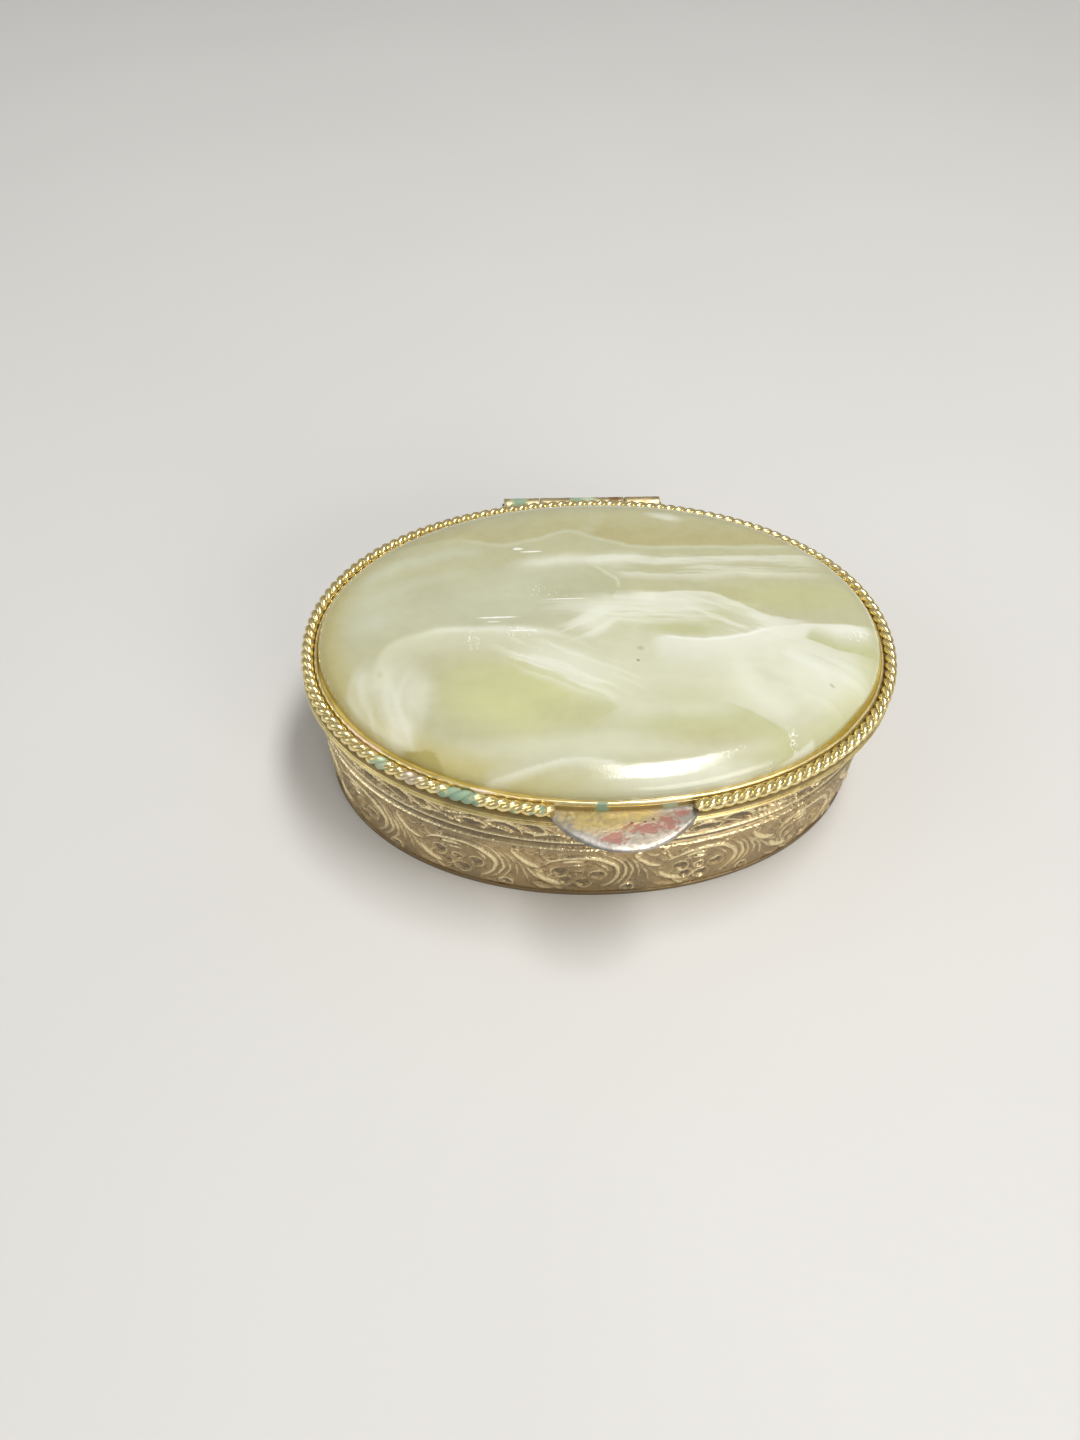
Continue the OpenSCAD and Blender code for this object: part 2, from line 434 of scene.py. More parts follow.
def gilt(name, bright, dark, rough=0.28, tarnish=0.5, patina_and_shade=None, stains_and_glints=(), ridge=None, grain=0.02):
    """Gilt metal: tarnished in soft clouds, darker in its hollows, finely scuffed, with stain
    patches.
    Its hollows hold patina on the embossed side, and painted shade on the rope, the bezel's foot and
    the rim's step, which is tarnished too. One bezel patch is a painted highlight.
    """
    s = Shade(name, IOR=1.5)
    cloud = s.ramp(s.noise(6.0, 5), 0.35, 0.8)
    speck = s.ramp(s.noise(0.7, 3), 0.56, 0.78)
    worn = s.times(s.plus(cloud, speck, 1.0), tarnish)
    s.colour = bright
    s.lay(worn, dark)
    smoother, rougher = rough * (1 - 0.5 * tarnish), rough * (1 + 0.7 * tarnish)
    shine = s.ramp(s.noise(1.6, 5), 0.3, 0.7, smoother, rougher)
    metal = s.plus(1.0, worn, -0.2)
    if patina_and_shade:
        # This darkening is real patina on the embossed side and painted shade on the rope, rim and
        # bezel.
        low = s.ramp(s.value(patina_and_shade[0]), patina_and_shade[1], patina_and_shade[2])
        s.lay(low, patina_and_shade[4], patina_and_shade[3])
        metal, shine = s.plus(metal, low, -0.35), s.plus(shine, low, 0.2)
    if ridge:
        high = s.ramp(s.value(ridge[0]), ridge[1], ridge[2])
        s.lay(high, ridge[3])
        shine = s.plus(shine, high, -ridge[4])
    for middle, radii, mark_colour, matt in stains_and_glints:
        spot = s.patch(middle, radii, ragged=0.9, size=0.6, soft=0.2)
        s.lay(spot, mark_colour)
        metal, shine = s.plus(metal, spot, -matt), s.plus(shine, spot, 0.5 * matt)
    s.set("Metallic", metal)
    s.set("Roughness", shine)
    scuff = s.math("ADD", s.noise(0.35, 4), s.times(s.noise(2.2, 2), 1.5))
    s.bump(scuff, grain)
    return s.material


# ---- embossed side

MOTIFS = 13
MOTIF_COLUMNS = 76
WALL_ROWS = 94
SCROLL_RISE = 0.34
STRIP_GROUND = 0.54
TOP_SHARE = 1.1
FIRST_FLOWER = -3.5
LEAF_MOTIFS = 14
FIRST_LEAF = -13.4

# Ridges of the scroll band round a flower at 0: path as (along, z), width, share of SCROLL_RISE
SCROLLS = [
    ([(-0.6, 0.9), (-2.2, 1.4), (-3.4, 2.8), (-3.9, 4.6)], 0.24, 0.9),
    ([(-4.3, 6.1), (-3.4, 7.1), (-1.6, 7.9), (0.9, 8.0), (2.6, 7.4), (3.9, 6.1), (4.2, 4.6),
      (3.6, 3.0), (2.5, 1.8)], 0.3, 1.2),
    ([(-2.2, 6.9), (-1.2, 7.3), (0.2, 7.2)], 0.24, 1.2),
    ([(-1.4, 6.2), (-0.6, 6.5), (0.6, 6.4)], 0.2, 1.0),
    ([(1.5, 7.0), (2.7, 6.2), (3.2, 4.9)], 0.18, 0.8),
    ([(1.6, 8.8), (3.4, 8.1), (4.7, 6.6), (5.1, 4.8), (4.6, 3.2), (3.6, 1.8)], 0.22, 1.0),
    ([(3.2, 8.7), (4.8, 7.4), (5.7, 5.8), (5.8, 4.4), (5.4, 3.0), (4.8, 1.9)], 0.2, 0.9),
    ([(4.6, 8.4), (5.8, 7.0), (6.5, 5.5), (6.7, 4.2), (6.7, 2.9)], 0.2, 0.9),
    ([(5.6, 7.7), (6.7, 6.2), (7.4, 4.8), (7.8, 3.4), (8.1, 2.2)], 0.2, 0.9),
    ([(6.0, 8.2), (7.0, 6.9), (8.0, 6.1), (9.3, 5.6)], 0.4, 1.35),
    ([(7.0, 6.2), (8.0, 4.9), (9.0, 3.6), (10.4, 2.6)], 0.22, 0.9),
    ([(9.0, 4.4), (9.8, 3.3), (10.9, 2.8), (12.4, 2.4)], 0.44, 1.35),
    ([(8.2, 5.4), (9.2, 4.9), (10.0, 4.9)], 0.2, 0.8),
    ([(8.4, 2.0), (9.6, 1.4), (11.6, 1.2)], 0.24, 0.8),
    ([(7.0, 8.7), (8.0, 8.0), (8.8, 8.3)], 0.2, 0.8),
    ([(9.6, 8.7), (9.9, 7.6), (10.6, 7.1), (11.3, 7.5)], 0.22, 0.9),
    ([(8.6, 7.3), (9.4, 6.8), (10.2, 6.9)], 0.18, 0.8),
    ([(3.2, 1.2), (4.2, 0.9), (5.0, 0.9)], 0.22, 0.7),
    ([(11.8, 1.5), (12.6, 1.9), (13.0, 2.7)], 0.2, 0.7),
]
# Round pebbles of the flower, sunk inside a light rim: middle, radius
PEBBLES = [((-2.5, 5.0), 0.95), ((1.9, 4.5), 0.95), ((-1.75, 3.2), 0.85), ((0.25, 2.75), 0.95),
           ((-0.25, 4.75), 0.6)]
# Small rings of the scroll band: middle, radius, share of SCROLL_RISE
CURLS = [((5.5, 1.7), 0.75, 0.9), ((6.4, 8.5), 0.34, 0.8), ((9.2, 8.5), 0.3, 0.7),
         ((11.6, 8.3), 0.34, 0.7), ((10.9, 4.1), 0.4, 0.7), ((12.2, 6.1), 0.3, 0.7)]
# Ridges of the leaf band, measured along from the start of its slanting leaf, as in SCROLLS
LEAF_RIDGES = [
    ([(-1.6, 12.5), (-0.4, 13.7), (1.0, 14.1), (2.5, 13.3), (3.9, 11.9)], 0.22, 1.0),
    ([(2.4, 14.1), (4.0, 14.3), (5.9, 13.4), (7.4, 12.2), (8.6, 11.8)], 0.22, 0.9),
    ([(3.0, 12.3), (3.8, 12.6), (4.5, 12.3), (5.4, 11.9)], 0.2, 1.2),
    ([(4.9, 12.7), (5.7, 12.3), (6.4, 12.1)], 0.18, 1.1),
    ([(8.7, 12.3), (9.4, 13.1), (10.9, 13.3), (12.0, 12.8)], 0.2, 1.0),
    ([(10.6, 12.7), (11.6, 12.2), (12.6, 11.7)], 0.2, 1.2),
    ([(-1.2, 14.9), (0.8, 15.3), (2.6, 15.1), (4.2, 14.9), (6.0, 14.4)], 0.2, 0.8),
    ([(7.0, 13.9), (8.4, 14.8), (10.2, 14.9), (11.4, 14.3)], 0.22, 0.8),
]
# Sunk leaves of the same band: path and half width
LEAVES = [
    ([(-0.6, 13.2), (0.8, 13.2), (2.2, 12.6), (3.2, 11.9)], 0.62),
    ([(2.8, 13.5), (4.2, 13.4), (5.6, 12.8)], 0.55),
    ([(4.6, 11.9), (6.4, 12.0), (8.2, 12.0)], 0.36),
    ([(8.7, 12.5), (10.2, 12.3), (12.2, 12.5)], 0.7),
    ([(-0.4, 14.7), (1.6, 14.7), (3.6, 15.0)], 0.38),
    ([(7.0, 13.3), (8.2, 13.9), (10.2, 14.2)], 0.38),
]


def ridge_height(u, z, points, width, period):
    """A rounded ridge along a path that tapers at both ends, repeated round the side."""
    height = np.zeros(u.shape)
    for turn in (-period, 0, period):
        away, share = to_path(u + turn, z, points)
        taper = 0.45 + 0.55 * np.sin(np.pi * np.clip(share, 0.02, 0.98)) ** 0.6
        height = np.maximum(height, np.exp(-((away / (width * taper)) ** 2)) * taper)
    return height


def leaf_shape(u, z, points, width, period):
    """The raised outline, the sunk inside and the midrib of a pointed leaf along a path."""
    outline = np.zeros(u.shape)
    inside = np.zeros(u.shape)
    rib = np.zeros(u.shape)
    for turn in (-period, 0, period):
        away, share = to_path(u + turn, z, points)
        reach = np.abs(away) - width * np.sin(np.pi * np.clip(share, 0, 1)) ** 0.7
        outline = np.maximum(outline, np.exp(-(((reach - 0.12) / 0.17) ** 2)))
        inside = np.maximum(inside, smooth(reach, 0.04, -0.14))
        rib = np.maximum(rib, np.exp(-((away / 0.13) ** 2)) * smooth(share, 0, 0.2))
    return outline, inside, rib * smooth(width, 0.4, 0.55)


def ring_height(u, z, middle, radius, width, period):
    """A thin raised ring and the distance from its middle."""
    around = (u - middle[0] + period / 2) % period - period / 2
    away = np.hypot(around, z - middle[1])
    return np.exp(-(((away - radius) / width) ** 2)), away


def relief(u, leaf_u, z, period, leaf_period):
    """Height of the embossing in shares of SCROLL_RISE, from -0.8 in hollows to 1.35 on ridges."""
    high = np.zeros(u.shape)
    low = np.zeros(u.shape)
    for points, width, share in SCROLLS:
        high = np.maximum(high, share * ridge_height(u, z, points, width, period))
    for middle, radius, share in CURLS:
        rim, away = ring_height(u, z, middle, radius, 0.18, period)
        high = np.maximum(high, share * rim)
        low = np.maximum(low, 0.8 * smooth(away, radius, radius * 0.5))
    for middle, radius in PEBBLES:
        rim, away = ring_height(u, z, middle, radius, 0.19, period)
        dish = smooth(away, radius, radius * 0.75)
        high = np.maximum(high * (1 - dish), 0.75 * rim)
        low = np.maximum(low * (1 - dish), dish * (0.44 - 0.3 * smooth(away, 0.75 * radius, 0)))
    for points, width, share in LEAF_RIDGES:
        high = np.maximum(high, share * ridge_height(leaf_u, z, points, width, leaf_period))
    for points, width in LEAVES:
        outline, inside, rib = leaf_shape(leaf_u, z, points, width, leaf_period)
        high = np.maximum(high * (1 - inside), 1.1 * outline)
        low = np.maximum(low, 0.7 * inside * (1 - 0.8 * rib))
    return high - low * np.exp(-3 * high)


def ruled_lines(height, z):
    """Two plain ridges, with grooves beside them, between the two bands."""
    ridge = sum(np.exp(-(((z - line_z) / 0.24) ** 2)) for line_z in (11.2, 9.75))
    groove = sum(np.exp(-(((z - line_z) / 0.2) ** 2)) for line_z in (10.75, 10.2, 9.25, 11.65))
    return height * (1 - smooth(z, 9.0, 9.3) * smooth(z, 11.8, 11.5)) + 1.15 * ridge - 0.6 * groove


def make_side(material):
    """The embossed strip: a fine grid outside, flat inside, its scroll repeated MOTIFS times."""
    low, high = floor_of("side_wall"), top_of("side_wall")
    count = MOTIFS * MOTIF_COLUMNS
    back = inset_of("inner_band")
    ground = back - STRIP_GROUND
    angles, along = stations(count, ground)
    period = along[1] * MOTIF_COLUMNS
    leaf_period = period * MOTIFS / LEAF_MOTIFS
    length, v = np.meshgrid(np.arange(count) * along[1], np.linspace(low, high, WALL_ROWS))
    u = (length - FIRST_FLOWER + period / 2) % period - period / 2
    leaf_u = (length - FIRST_LEAF) % leaf_period
    sway = 0.5 * layered_noise(length, v, 2.2, 4)
    height = relief(u + sway, leaf_u + sway, v + 0.4 * sway, period, leaf_period)
    height *= 1 + 0.7 * layered_noise(length, v, 3.0, 6)
    height += 0.35 * layered_noise(length, v, 0.8, 5)
    height = ruled_lines(height, v) * smooth(v, low, low + 0.9) * smooth(v, high, high - 0.4)
    inset = ground - SCROLL_RISE * np.clip(height, -1, TOP_SHARE)
    outer = np.stack([*oval(angles[None, :], inset), v], -1)
    inner = band_points([(back, high), (back, low)], angles)
    points = np.concatenate([outer, inner]).reshape(-1, 3)
    faces = grid_faces(WALL_ROWS + 2, count, around_rows=True)
    flat = np.concatenate([height.ravel(), np.zeros(2 * count)])
    make_piece("side_wall_embossed", points, faces, "box", ["side_wall"],
               material, crease=75, values={"relief": flat})


# ---- rim, lid bands and plates

BEAD_R = 0.2
TUBE_ROOM = 0.35


def make_rim(material):
    """Flat ring over a sunk step and a thin bead, drawn in where it passes the hinge."""
    low, high = floor_of("rim_ring"), SEAM_Z
    inner = inset_of("inner_band") + 0.4
    arc = np.radians(np.linspace(-110, 75, 12))
    bead = [(BEAD_R * (1 - math.cos(a)), low + 1.3 * BEAD_R + BEAD_R * math.sin(a)) for a in arc]
    middle = (low + 2.6 * BEAD_R + high - 0.24) / 2
    line = [(0.36, middle - 0.14), (0.2, middle - 0.06), (0.2, middle + 0.06), (0.36, middle + 0.14)]
    step = line + [(0.34, high - 0.24), (0.4, high - 0.06), (0.46, high)]
    profile = upward(np.array(bead + step + [(inner, high), (inner, high - 0.4), (0.8, high - 0.4)]))
    count = 720
    angles = stations(count)[0]
    limit = HINGE_Y - HINGE_R - TUBE_ROOM

    def shift(inset, z, angle):
        y = oval(angle, inset)[1]
        wander = 0.05 * layered_noise(angle * 30, angle * 0, 2.5, 9)
        return np.maximum(0, y - limit) + np.maximum(wander, -inset), 0

    points = band_points(profile, angles, shift=shift).reshape(-1, 3)
    faces = grid_faces(len(profile), count, around_rows=True)
    # sunk marks the step between the bead and the flat ring, less its middle line; its darker colour
    # is tarnish together with painted shade cast by the rope above it.
    sunk = smooth(points[:, 2], low + 2.1 * BEAD_R, low + 2.6 * BEAD_R)
    sunk *= smooth(np.abs(points[:, 2] - middle), 0.07, 0.13)
    make_piece("rim_ring_beaded", points, faces, "box", ["rim_ring"], material,
               crease=50, values={"sunk": sunk})


ROPE_GAP = 7.9


def make_bezel(material):
    """Plain band bent round the stone, burnished over at its top and soldered at its foot."""
    inset, low, high = place_of("bezel_band")
    profile = [(inset - 0.6, low), (inset - 0.2, low + 0.3), (inset, low + 0.55),
               (inset, low + 0.75), (inset + 0.02, high - 0.5),
               (inset + 0.08, high - 0.12), (inset + 0.2, high), (inset + 0.4, high - 0.04),
               (inset + 0.42, high - 0.3), (inset + 0.4, low)]

    def shift(at, z, angle):
        top = smooth(z, high - 0.7, high)
        wander = layered_noise(angle * 26, z * 0, 3.0, 21)
        x, y = oval(angle, inset)
        bare = (y < 0) & (np.abs(x) < ROPE_GAP)
        foot = np.where(bare, max(inset - at, 0), 0)
        return 0.1 * wander * top + 0.03 + foot, np.minimum(0.16 * wander * top, 0) - 0.02 * top

    make_band("bezel_band_burnished", profile, "bezel_band", "lid", material,
              shift=shift, count=720, round_off=0.12, foot=low + 0.55)


def make_plain_bands(material):
    """Bands that hold no pattern: inside the box and under the lid."""
    for node, body, thick in (("inner_band", "box", 0.4), ("lid_flange", "lid", 0.4)):
        inset, low, high = place_of(node)
        profile = [(inset, low), (inset, high), (inset + thick, high), (inset + thick, low)]
        make_band(node + "_plain", profile, node, body, material)


STRANDS = 2
STRAND_R = 0.47
STRAND_OUT = 0.27
STRAND_PITCH = 2.6
ROPE_SIDES = 12
ROPE_STATIONS = 1400


def make_rope(material):
    """Two round strands twisted together, laid round the lid with a gap over the thumb tab."""
    low, high = floor_of("rope_wire"), top_of("rope_wire")
    inset = STRAND_R + STRAND_OUT
    angles, along = stations(ROPE_STATIONS * 4, inset)
    x, y = oval(angles, inset)
    ends = np.where((y > 0) | (x > ROPE_GAP) | (x < 0.7 - ROPE_GAP))[0]
    keep = np.linspace(ends[0], ends[-1], ROPE_STATIONS).round().astype(int)
    path = np.stack([x, y, np.full(len(x), high - inset)], -1)
    ahead = np.roll(path, -1, 0) - np.roll(path, 1, 0)
    ahead /= np.linalg.norm(ahead, axis=1)[:, None]
    out = np.stack([ahead[:, 1], -ahead[:, 0], np.zeros(len(x))], -1)
    up = np.array([0, 0, 1])
    path, ahead, out, along = path[keep], ahead[keep], out[keep], along[keep]
    pull = 0.35 * layered_noise(along, along * 0, 9.0, 31)
    turn = np.linspace(0, 2 * math.pi, ROPE_SIDES, endpoint=False)[:, None]
    lean = STRAND_OUT * 2 * math.pi / STRAND_PITCH
    points, faces = [], []
    for strand in range(STRANDS):
        twist = (2 * math.pi * along / STRAND_PITCH + strand * math.pi + pull)[:, None]
        side = np.cos(twist) * out + np.sin(twist) * up
        run = ahead + lean * (-np.sin(twist) * out + np.cos(twist) * up)
        run /= np.linalg.norm(run, axis=1)[:, None]
        third = np.cross(run, side)[:, None]
        centre = (path + STRAND_OUT * side)[:, None]
        rings = centre + STRAND_R * (np.cos(turn) * side[:, None] - np.sin(turn) * third)
        points.append(rings.reshape(-1, 3))
        faces += capped_faces(ROPE_STATIONS, ROPE_SIDES, strand * ROPE_STATIONS * ROPE_SIDES)
    points = np.concatenate(points)
    points[:, 2] = np.clip(points[:, 2], low, high)
    # crest is 1 on each strand's outer side and -1 where the strands meet; the rope's material
    # darkens its low end as painted shade between the strands.
    crest = np.tile(np.cos(turn[:, 0]), STRANDS * ROPE_STATIONS)
    make_piece("rope_wire_twisted", points, faces, "lid", ["rope_wire"], material,
               crease=60, values={"crest": crest})


# ---- cement and stone

STONE_RINGS = 118
STONE_COLUMNS = 840
SHOULDER_W = 4
SHOULDER_H = 2.3
SHOULDER_STEPS = 20
CROWN_H = 0.5


def make_cement(material):
    """Amber bead between the stone and the bezel, filled unevenly."""
    outer = inset_of("bezel_band") + 0.4
    low, high = LID_Z, top_of("stone_cement")
    count = 600
    angles = stations(count)[0]
    x, y = oval(angles, outer)
    uneven = 0.25 * layered_noise(angles * 26, angles * 0, 5.0, 41)
    sunk = 0.2 * smooth(np.hypot(x - 28, y + 13), 7, 2) + 0.1 * smooth(x, -24, -31)
    level = np.minimum(uneven, 0.1) - sunk
    profile = [(1.6, low, STONE_POWER), (0, low, OVAL_POWER), (0, high - 0.15, OVAL_POWER),
               (0.06, high, OVAL_POWER), (0.3, high + 0.1, STONE_POWER),
               (0.6, high + 0.16, STONE_POWER), (1.6, high, STONE_POWER)]
    rows = [ring(angles, outer + more, z + smooth(z, low, high) * level, power)
            for more, z, power in profile]
    points = np.concatenate(rows)
    faces = grid_faces(len(rows), count, around_rows=True)
    make_piece("stone_cement_bead", points, faces, "lid", ["stone_cement"], material)


class Clouds:
    """Colour worked out over the stone, laid down one cloud at a time from the ground colour."""

    def __init__(self, x, y, ground):
        drift = 0.9 * layered_noise(x, y, 6.0, 51), 0.9 * layered_noise(x, y, 6.0, 52)
        fine = 0.35 * layered_noise(x, y, 1.3, 53), 0.35 * layered_noise(x, y, 1.3, 54)
        self.x, self.y = x + drift[0] + fine[0], y + drift[1] + fine[1]
        self.colour = np.ones((len(x), 3)) * srgb(*ground)

    def lay(self, mask, colour):
        mask = np.clip(mask, 0, 1)[:, None]
        self.colour = self.colour * (1 - mask) + mask * np.array(srgb(*colour))

    def blob(self, middle, radii, colour, amount, turn=0, core=0.2):
        """A soft ellipse, turned by this many degrees."""
        c, s = math.cos(math.radians(turn)), math.sin(math.radians(turn))
        dx, dy = self.x - middle[0], self.y - middle[1]
        away = np.hypot((c * dx + s * dy) / radii[0], (c * dy - s * dx) / radii[1])
        self.lay(amount * smooth(away, 1.0, core), colour)

    def shelf(self, points, colour, amount, fade, crisp=0.16, ends=0.12):
        """Colour that starts crisply at a path and fades away to its left, or right if fade < 0."""
        away, share = to_path(self.x, self.y, points)
        away = away * (1 if fade > 0 else -1)
        mask = smooth(away, -crisp, crisp) * smooth(away, abs(fade), 0)
        inside = smooth(share, 0, ends) * smooth(share, 1, 1 - ends)
        self.lay(amount * mask * inside, colour)

    def wisp(self, points, width, colour, amount, ends=0.2):
        """A soft line."""
        away, share = to_path(self.x, self.y, points)
        inside = smooth(share, 0, ends) * smooth(share, 1, 1 - ends)
        self.lay(amount * np.exp(-((away / width) ** 2)) * inside, colour)

    def silk(self, middle, radii, turn, size, colour, amount, seed):
        """Fine streaks inside a soft ellipse, running the long way of it."""
        c, s = math.cos(math.radians(turn)), math.sin(math.radians(turn))
        dx, dy = self.x - middle[0], self.y - middle[1]
        along, across = c * dx + s * dy, c * dy - s * dx
        inside = smooth(np.hypot(along / radii[0], across / radii[1]), 1.0, 0.45)
        threads = smooth(layered_noise(along / 12, across, size, seed), -0.08, 0.22)
        self.lay(amount * inside * threads, colour)


KHAKI = (184, 182, 143)
OLIVE = (177, 168, 117)
GREEN = (186, 187, 136)
LIME = (197, 198, 140)
CREAM = (214, 214, 186)
MILK = (228, 229, 212)
HAZE = (196, 198, 174)
MIST = (182, 182, 146)
HONEY = (172, 158, 84)
AMBER = (192, 178, 108)
CHALK = (250, 250, 242)

CLOUD_BLOBS = [
    # middle, radii, colour, amount, turn
    ((8, -9), (27, 14), CREAM, 0.8, 0),
    ((22, -9), (13, 10), CREAM, 0.8, 10),
    ((24, -8), (9, 7), MILK, 0.5, -20),
    ((-12, 3), (17, 7), HAZE, 0.55, 5),
    ((-5, 8.5), (14, 4), HAZE, 0.4, 5),
    ((-26, 2), (8, 8), HAZE, 0.4, 30),
    ((-10, -11), (13, 8), LIME, 0.9, -10),
    ((-15, -8.5), (6, 3.5), GREEN, 0.5, 0),
    ((-5, -13.5), (7, 3), GREEN, 0.6, -8),
    ((-3, 5.5), (5.5, 4.5), MIST, 0.75, 0),
    ((23, 3.6), (13, 3.8), GREEN, 0.9, 0),
    ((15, 3.7), (5, 2.2), OLIVE, 0.35, 0),
    ((8, -11.5), (7, 2.5), GREEN, 0.35, 0),
    ((9, -15.8), (11, 2.8), GREEN, 0.85, -2),
    ((10, -17.2), (9, 1.8), OLIVE, 0.4, 0),
    ((-4, -18), (17, 2.6), CREAM, 0.55, 0),
    # The stone's milky zone along the front shoulder, partly a painted highlight where the shoulder
    # catches the overhead light.
    ((8, -21.5), (14, 2.2), MILK, 0.6, 4),
]


def rear_clouds(c):
    """Olive fields by the rear edge with a wavy border, and pale streaks in front of them."""
    c.shelf([(-30, 12.5), (-22, 14.4), (-16, 15.3), (-11, 14.3), (-7, 15.2), (-3, 16.6), (0, 15.6)],
            OLIVE, 0.6, 6)
    c.shelf([(-1, 16.2), (1, 15), (3.5, 14), (6, 13.4), (9, 13.2), (15, 13), (24, 13.1), (31, 12.6)],
            OLIVE, 0.95, 9)
    c.wisp([(-22, 14), (-16, 14.9), (-11, 13.9), (-7, 14.8), (-3, 16.2), (0, 15.2), (3.5, 13.6),
            (6, 13.1), (15, 12.7), (24, 12.8), (25.6, 14.6), (28, 14.4)], 0.3, CREAM, 0.35)
    c.wisp([(-30, 6), (-25, 9.5), (-19, 12), (-12, 13)], 1.0, HAZE, 0.6)
    c.wisp([(-29, 3), (-22, 7), (-14, 9.3)], 0.9, HAZE, 0.45)
    c.wisp([(-11, 10), (-4, 10.8), (2, 10.8), (7, 11.3)], 1.0, MILK, 0.65)
    c.shelf([(-2, 11.6), (5, 11.5), (12, 10.8), (20, 11.1), (30, 11)], MILK, 0.55, -2.2)
    c.shelf([(2, 8.4), (6, 8.2), (12, 7.7), (18, 7.9), (30, 7.7)], MILK, 0.5, -1.7)
    c.silk((14, 9.4), (17, 2.6), -1, 0.5, MILK, 0.45, 83)
    c.blob((9.5, 19), (3, 1.1), MILK, 0.6, -15)
    c.blob((7.4, 20.3), (1.6, 0.6), (200, 170, 124), 0.3)


def feathered_clouds(c):
    """Milky feathers in the middle, brushed to the right over green pockets."""
    c.blob((5.5, 2), (10, 3.4), MILK, 0.6, -4, core=0.5)
    c.blob((-0.5, 0.2), (4.4, 2.8), MILK, 0.65, 25)
    c.shelf([(3, 4.4), (8, 4.6), (13, 4.5), (16, 2.9), (20, 0.5), (25, -0.4)], MILK, 0.7, -3.8)
    c.silk((7, 1.6), (13, 3.6), -5, 0.8, GREEN, 0.5, 81)
    c.silk((3, 2.2), (12, 3.2), -5, 0.45, MILK, 0.5, 82)
    c.silk((16, 0), (9, 3.4), -24, 0.5, MILK, 0.6, 88)
    c.silk((-1.5, -0.4), (5, 3), 32, 0.6, MILK, 0.6, 86)
    c.blob((9, -1.5), (6, 1.4), GREEN, 0.85, -2)
    c.shelf([(-1, 9.7), (0.6, 8.5), (2.1, 6.9), (2.3, 5.2), (1.3, 3.4)], MIST, 0.8, -3.8)
    c.wisp([(-0.6, 9.8), (0.9, 8.5), (2.5, 6.9), (2.6, 5.2)], 0.2, CREAM, 0.6)


def right_clouds(c):
    """Crisp shelves of cream over green at the right, with soft folds below them."""
    c.shelf([(5, -2.9), (8, -3.1), (13, -3.2), (17, -2.4), (21, -1.1), (25, -0.8), (29, -1.2),
             (33, -1.4)], MILK, 0.85, -5.5, crisp=0.12)
    c.wisp([(6, -2.8), (9, -3), (13, -3.1), (17, -2.3), (21, -1)], 0.22, CHALK, 0.7)
    c.shelf([(23, -2.9), (25, -4.2), (28, -5.6), (32.5, -6.2)], GREEN, 0.9, 3.2, crisp=0.12)
    c.blob((29, -1.9), (3.8, 0.9), MILK, 0.75, -6)
    c.wisp([(15, -5), (15.4, -9), (17.6, -12.5), (20.5, -14.4)], 1.7, MILK, 0.5)
    c.wisp([(20, -4.5), (23, -7), (25, -10.5)], 0.9, MILK, 0.55)
    c.wisp([(22.5, -5), (26, -7.6), (29.6, -9.4)], 0.35, HAZE, 0.25)
    c.wisp([(26, -5.9), (29, -8), (31.6, -8.8)], 0.3, HAZE, 0.3)
    c.wisp([(16, -7), (19, -9.4), (21, -12.6)], 0.8, HAZE, 0.35)
    c.silk((24, -9), (9, 5), -35, 0.9, MILK, 0.45, 87)


# Threads of the veil at the left, from the edge inwards: lean, width, amount
VEIL_THREADS = [(0.2, 0.45, 0.3), (-0.5, 0.3, 0.35), (0.6, 0.35, 0.15), (-0.2, 0.4, 0.2),
                (0.9, 0.3, 0.3), (0.1, 0.5, 0.2), (-0.6, 0.8, 0.2)]


def left_clouds(c):
    """The arch over the lime field, with veils that stand up by the left edge."""
    c.shelf([(-26.5, -15), (-25.6, -11), (-26, -6.5), (-25, -3.6), (-23, -1.9), (-20, -0.9),
             (-17, -0.6), (-12, -0.8), (-9, -0.9), (-5, -1.9), (-2, -3.4), (1, -5.2)], CREAM, 0.75,
            -6, crisp=0.5, ends=0.35)
    c.wisp([(-23.4, -2.4), (-20, -1), (-17, -0.8), (-12, -1), (-9, -1.1), (-5, -2.1), (-2, -3.6)],
           0.5, MILK, 0.65, ends=0.3)
    c.blob((-4.5, -6.6), (8, 3.6), MILK, 0.55, -28)
    c.silk((-4.5, -6.6), (11, 4.2), -28, 0.6, MILK, 0.8, 84)
    for middle, radii, turn in (((-21.8, -9.4), (3.6, 5.8), 8), ((-23, -15.4), (2.6, 3.4), 20),
                                ((-27.2, -8.6), (1.8, 4.4), 0)):
        c.blob(middle, radii, MILK, 0.4, turn)
    for i, (lean, width, amount) in enumerate(VEIL_THREADS):
        top = (-27.8 + 1.35 * i + lean, -5.2 - 0.3 * i + lean)
        bulge = (-28.6 + 1.3 * i, -10.4)
        foot = (-24.8 + 0.6 * i, -16 - 0.25 * i + 0.5 * lean)
        c.wisp([top, bulge, foot], width, MILK, amount, ends=0.4)
    c.wisp([(-25.2, -3.6), (-25, -7), (-24.6, -10.6), (-23.6, -14), (-22.2, -17)], 1.3, MILK, 0.45,
           ends=0.3)
    c.silk((-24, -13), (7, 4.2), 108, 0.9, MILK, 0.3, 85)
    c.blob((-25.3, -7.2), (0.4, 0.8), OLIVE, 0.45)
    c.blob((-26.5, 1), (3.5, 2.2), HAZE, 0.6, 20)


